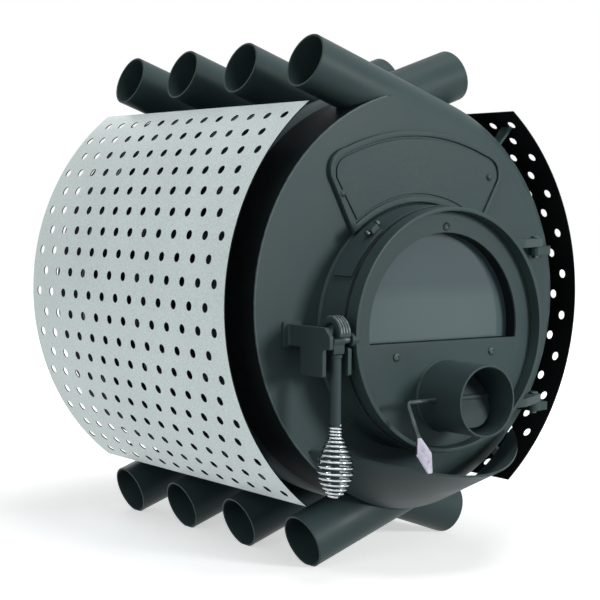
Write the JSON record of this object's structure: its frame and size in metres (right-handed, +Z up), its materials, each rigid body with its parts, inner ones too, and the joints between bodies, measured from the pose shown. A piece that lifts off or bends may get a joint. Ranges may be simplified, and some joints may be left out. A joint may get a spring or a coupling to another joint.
{
  "type": "tube-wrapped wood stove",
  "caption": "Free-standing wood stove wrapped in bent air tubes, with a round glazed door, coil-grip latch, air intake damper, ash lip, side heat shields and rear flue spigot.",
  "frame": {"origin": "on the floor, in the middle of the bounding box", "axes": "+Z up; +Y from the door towards the flue; +X to the right as seen from the door"},
  "size_m": [0.631, 0.7772, 0.7216],
  "materials": {
    "grey_paint": "matte heat-resistant paint, grey-green black",
    "wall_paint": "matte heat-resistant paint, darker where it is shaded and heated",
    "shield_steel": "dull metallic sheet with rows of round holes",
    "coil_chrome": "bright plated wire",
    "bolt_steel": "dark blued steel",
    "fire_steel": "bare steel, dull from heat",
    "window_glass": "clear ceramic glass in front of a dark firebox",
    "gasket_rope": "woven glass-fibre rope"
  },
  "bodies": {
    "body": {"air_tube_left_1": "grey_paint", "air_tube_left_2": "grey_paint", "air_tube_left_3": "grey_paint", "air_tube_left_4": "grey_paint", "air_tube_right_1": "grey_paint", "air_tube_right_2": "grey_paint", "air_tube_right_3": "grey_paint", "side_wall_right_1": "wall_paint", "side_wall_right_2": "wall_paint", "side_wall_right_3": "wall_paint", "side_wall_left_1": "wall_paint", "side_wall_left_2": "wall_paint", "end_wall_front": "wall_paint", "end_wall_rear": "wall_paint", "front_plate": "grey_paint", "rear_plate": "grey_paint", "baffle_plate": "fire_steel", "injector_left": "fire_steel", "injector_right": "fire_steel", "flue_spigot": "grey_paint", "door_collar": "grey_paint", "collar_strip": "grey_paint", "name_plate": "grey_paint", "ash_lip": "grey_paint", "latch_catch": "grey_paint", "hinge_lug_upper": "grey_paint", "hinge_lug_lower": "grey_paint", "hinge_pin_upper": "bolt_steel", "hinge_pin_lower": "bolt_steel", "shield_left": "shield_steel", "shield_right": "shield_steel", "shield_bracket_left_front_upper": "grey_paint", "shield_bracket_left_front_lower": "grey_paint", "shield_bracket_left_rear_upper": "grey_paint", "shield_bracket_left_rear_lower": "grey_paint", "shield_bracket_right_front_upper": "grey_paint", "shield_bracket_right_front_lower": "grey_paint", "shield_bracket_right_rear_upper": "grey_paint", "shield_bracket_right_rear_lower": "grey_paint"},
    "door": {"door_ring": "grey_paint", "door_face": "grey_paint", "door_gasket": "gasket_rope", "window_glass": "window_glass", "glass_retainer": "bolt_steel", "face_screw_top": "bolt_steel", "face_screw_left": "bolt_steel", "face_screw_right": "bolt_steel", "intake_pipe": "grey_paint", "hinge_strap_upper": "grey_paint", "hinge_strap_lower": "grey_paint", "latch_pin": "bolt_steel"},
    "handle": {"latch_hook": "grey_paint", "handle_rod": "grey_paint", "grip_coil": "coil_chrome"},
    "air_damper": {"air_damper_disc": "fire_steel", "air_damper_rod": "bolt_steel", "air_damper_tag": "shield_steel"},
    "flue_damper": {"flue_damper_disc": "fire_steel", "flue_damper_rod": "bolt_steel", "flue_damper_lever": "bolt_steel"}
  },
  "joints": [
    {"name": "door_hinge", "type": "hinge", "parent": "body", "child": "door", "pos_m": [0.19, -0.2783, 0.36006], "axis": [0, 0, 1], "range_deg": [0, 115]},
    {"name": "latch_pivot", "type": "hinge", "parent": "door", "child": "handle", "pos_m": [-0.192, -0.3103, 0.31906], "axis": [-1, 0, 0], "range_deg": [0, 80]},
    {"name": "air_damper_turn", "type": "hinge", "parent": "door", "child": "air_damper", "pos_m": [0, -0.3396, 0.23506], "axis": [-1, 0, 0], "range_deg": [-18, 61]},
    {"name": "flue_damper_turn", "type": "hinge", "parent": "body", "child": "flue_damper", "pos_m": [0, 0.3306, 0.49506], "axis": [1, 0, 0], "range_deg": [0, 90]}
  ]
}
